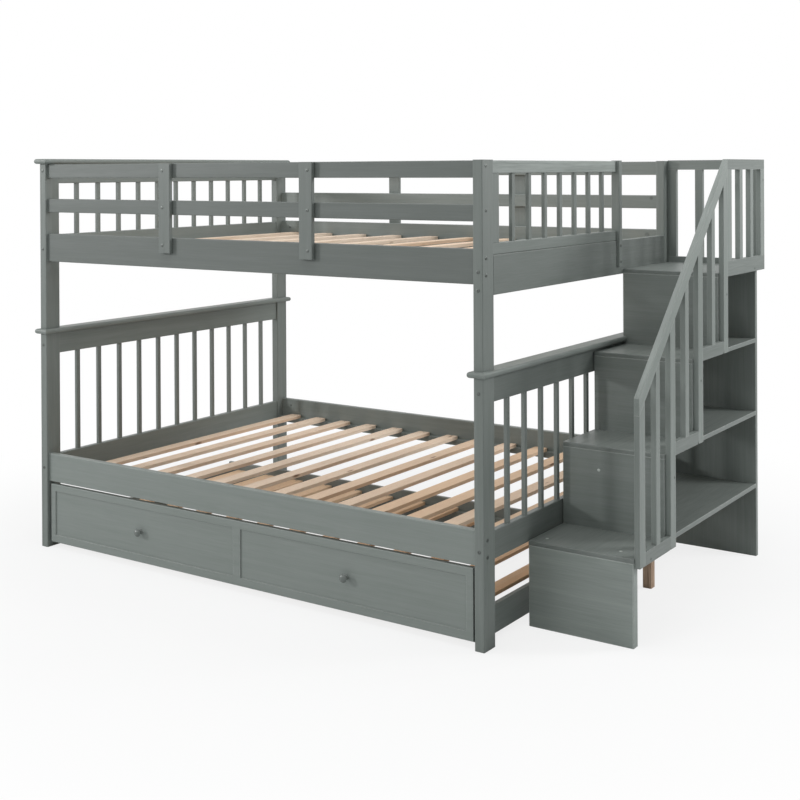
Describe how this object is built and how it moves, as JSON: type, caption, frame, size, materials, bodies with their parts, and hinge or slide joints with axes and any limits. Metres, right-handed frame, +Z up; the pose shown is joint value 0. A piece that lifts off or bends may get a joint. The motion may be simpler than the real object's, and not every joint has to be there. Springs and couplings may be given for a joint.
{
  "type": "bunk bed with storage stairs",
  "caption": "Painted wooden bunk bed with spindle ends and guard rails, a boxed staircase whose treads run on as open shelves, and a pull-out trundle on casters.",
  "frame": {"origin": "centre of the plan of the whole bed, on the floor", "axes": "+X along the bed towards the staircase, +Y from the front to the back, +Z up"},
  "size_m": [2.393, 1.49, 1.5085],
  "materials": {
    "caster_forks": "zinc plated",
    "caster_wheel_front_left": "moulded",
    "caster_wheel_front_right": "moulded",
    "caster_wheel_rear_left": "moulded",
    "caster_wheel_rear_right": "moulded",
    "entry_post": "grey paint",
    "front_guard_rails": "grey paint",
    "front_guard_supports": "grey paint",
    "lower_left_end_bottom_rail": "grey paint",
    "lower_left_end_cap": "grey paint",
    "lower_left_end_spindles": "grey paint",
    "lower_left_end_top_rail": "grey paint",
    "lower_left_posts": "grey paint",
    "lower_right_end_bottom_rail": "grey paint",
    "lower_right_end_cap": "grey paint",
    "lower_right_end_spindles": "grey paint",
    "lower_right_end_top_rail": "grey paint",
    "lower_right_posts": "grey paint",
    "lower_side_rail_front": "grey paint",
    "lower_side_rail_rear": "grey paint",
    "lower_slat_ledgers": "grey paint",
    "lower_slats": "raw pine",
    "platform_rear_guard_rails": "grey paint",
    "platform_rear_guard_uprights": "grey paint",
    "platform_side_guard_rails": "grey paint",
    "platform_side_guard_uprights": "grey paint",
    "post_dowels": "raw pine",
    "rear_guard_rails": "grey paint",
    "rear_guard_supports": "grey paint",
    "stair_centre_leg": "brown stain",
    "stair_front_panel": "grey paint",
    "stair_handrail": "grey paint",
    "stair_platform": "grey paint",
    "stair_railing_bottom_rails": "grey paint",
    "stair_railing_uprights": "grey paint",
    "stair_rear_panel": "grey paint",
    "stair_risers": "grey paint",
    "stair_treads": "grey paint",
    "trundle_front": "grey paint",
    "trundle_knobs": "grey paint",
    "trundle_ledgers": "grey paint",
    "trundle_rear": "grey paint",
    "trundle_sides": "grey paint",
    "trundle_slats": "raw pine",
    "upper_left_end_bottom_rail": "grey paint",
    "upper_left_end_cap": "grey paint",
    "upper_left_end_spindles": "grey paint",
    "upper_left_end_top_rail": "grey paint",
    "upper_left_posts": "grey paint",
    "upper_right_end_bottom_rail": "grey paint",
    "upper_right_end_spindles": "grey paint",
    "upper_right_end_top_rail": "grey paint",
    "upper_right_posts": "grey paint",
    "upper_right_sill_board": "grey paint",
    "upper_side_rail_front": "grey paint",
    "upper_side_rail_rear": "grey paint",
    "upper_slat_ledgers": "grey paint",
    "upper_slats": "raw pine"
  },
  "bodies": {
    "frame": {"entry_post": "entry_post", "front_guard_rails": "front_guard_rails", "front_guard_supports": "front_guard_supports", "lower_left_end_bottom_rail": "lower_left_end_bottom_rail", "lower_left_end_cap": "lower_left_end_cap", "lower_left_end_spindles": "lower_left_end_spindles", "lower_left_end_top_rail": "lower_left_end_top_rail", "lower_left_posts": "lower_left_posts", "lower_right_end_bottom_rail": "lower_right_end_bottom_rail", "lower_right_end_cap": "lower_right_end_cap", "lower_right_end_spindles": "lower_right_end_spindles", "lower_right_end_top_rail": "lower_right_end_top_rail", "lower_right_posts": "lower_right_posts", "lower_side_rail_front": "lower_side_rail_front", "lower_side_rail_rear": "lower_side_rail_rear", "lower_slat_ledgers": "lower_slat_ledgers", "lower_slats": "lower_slats", "platform_rear_guard_rails": "platform_rear_guard_rails", "platform_rear_guard_uprights": "platform_rear_guard_uprights", "platform_side_guard_rails": "platform_side_guard_rails", "platform_side_guard_uprights": "platform_side_guard_uprights", "post_dowels": "post_dowels", "rear_guard_rails": "rear_guard_rails", "rear_guard_supports": "rear_guard_supports", "stair_centre_leg": "stair_centre_leg", "stair_front_panel": "stair_front_panel", "stair_handrail": "stair_handrail", "stair_platform": "stair_platform", "stair_railing_bottom_rails": "stair_railing_bottom_rails", "stair_railing_uprights": "stair_railing_uprights", "stair_rear_panel": "stair_rear_panel", "stair_risers": "stair_risers", "stair_treads": "stair_treads", "upper_left_end_bottom_rail": "upper_left_end_bottom_rail", "upper_left_end_cap": "upper_left_end_cap", "upper_left_end_spindles": "upper_left_end_spindles", "upper_left_end_top_rail": "upper_left_end_top_rail", "upper_left_posts": "upper_left_posts", "upper_right_end_bottom_rail": "upper_right_end_bottom_rail", "upper_right_end_spindles": "upper_right_end_spindles", "upper_right_end_top_rail": "upper_right_end_top_rail", "upper_right_posts": "upper_right_posts", "upper_right_sill_board": "upper_right_sill_board", "upper_side_rail_front": "upper_side_rail_front", "upper_side_rail_rear": "upper_side_rail_rear", "upper_slat_ledgers": "upper_slat_ledgers", "upper_slats": "upper_slats"},
    "trundle": {"trundle_front": "trundle_front", "trundle_sides": "trundle_sides", "trundle_rear": "trundle_rear", "trundle_ledgers": "trundle_ledgers", "trundle_slats": "trundle_slats", "trundle_knobs": "trundle_knobs", "caster_forks": "caster_forks"},
    "wheel_front_left": {"caster_wheel_front_left": "caster_wheel_front_left"},
    "wheel_front_right": {"caster_wheel_front_right": "caster_wheel_front_right"},
    "wheel_rear_left": {"caster_wheel_rear_left": "caster_wheel_rear_left"},
    "wheel_rear_right": {"caster_wheel_rear_right": "caster_wheel_rear_right"}
  },
  "joints": [
    {"name": "trundle_slide", "type": "slide", "parent": "frame", "child": "trundle", "axis": [0, -1, 0], "range_m": [0, 1.05]},
    {"name": "wheel_spin_front_left", "type": "hinge", "parent": "trundle", "child": "wheel_front_left", "pos_m": [-1.116, -0.535, 0.022], "axis": [1, 0, 0], "range_deg": [0, 2740]},
    {"name": "wheel_spin_front_right", "type": "hinge", "parent": "trundle", "child": "wheel_front_right", "pos_m": [0.753, -0.535, 0.022], "axis": [1, 0, 0], "range_deg": [0, 2740]},
    {"name": "wheel_spin_rear_left", "type": "hinge", "parent": "trundle", "child": "wheel_rear_left", "pos_m": [-1.116, 0.144, 0.022], "axis": [1, 0, 0], "range_deg": [0, 2740]},
    {"name": "wheel_spin_rear_right", "type": "hinge", "parent": "trundle", "child": "wheel_rear_right", "pos_m": [0.753, 0.144, 0.022], "axis": [1, 0, 0], "range_deg": [0, 2740]}
  ],
  "couplings": [
    {"joint": "wheel_spin_front_left", "follows": "trundle_slide", "rad_per_m": 45.455},
    {"joint": "wheel_spin_front_right", "follows": "trundle_slide", "rad_per_m": 45.455},
    {"joint": "wheel_spin_rear_left", "follows": "trundle_slide", "rad_per_m": 45.455},
    {"joint": "wheel_spin_rear_right", "follows": "trundle_slide", "rad_per_m": 45.455}
  ]
}
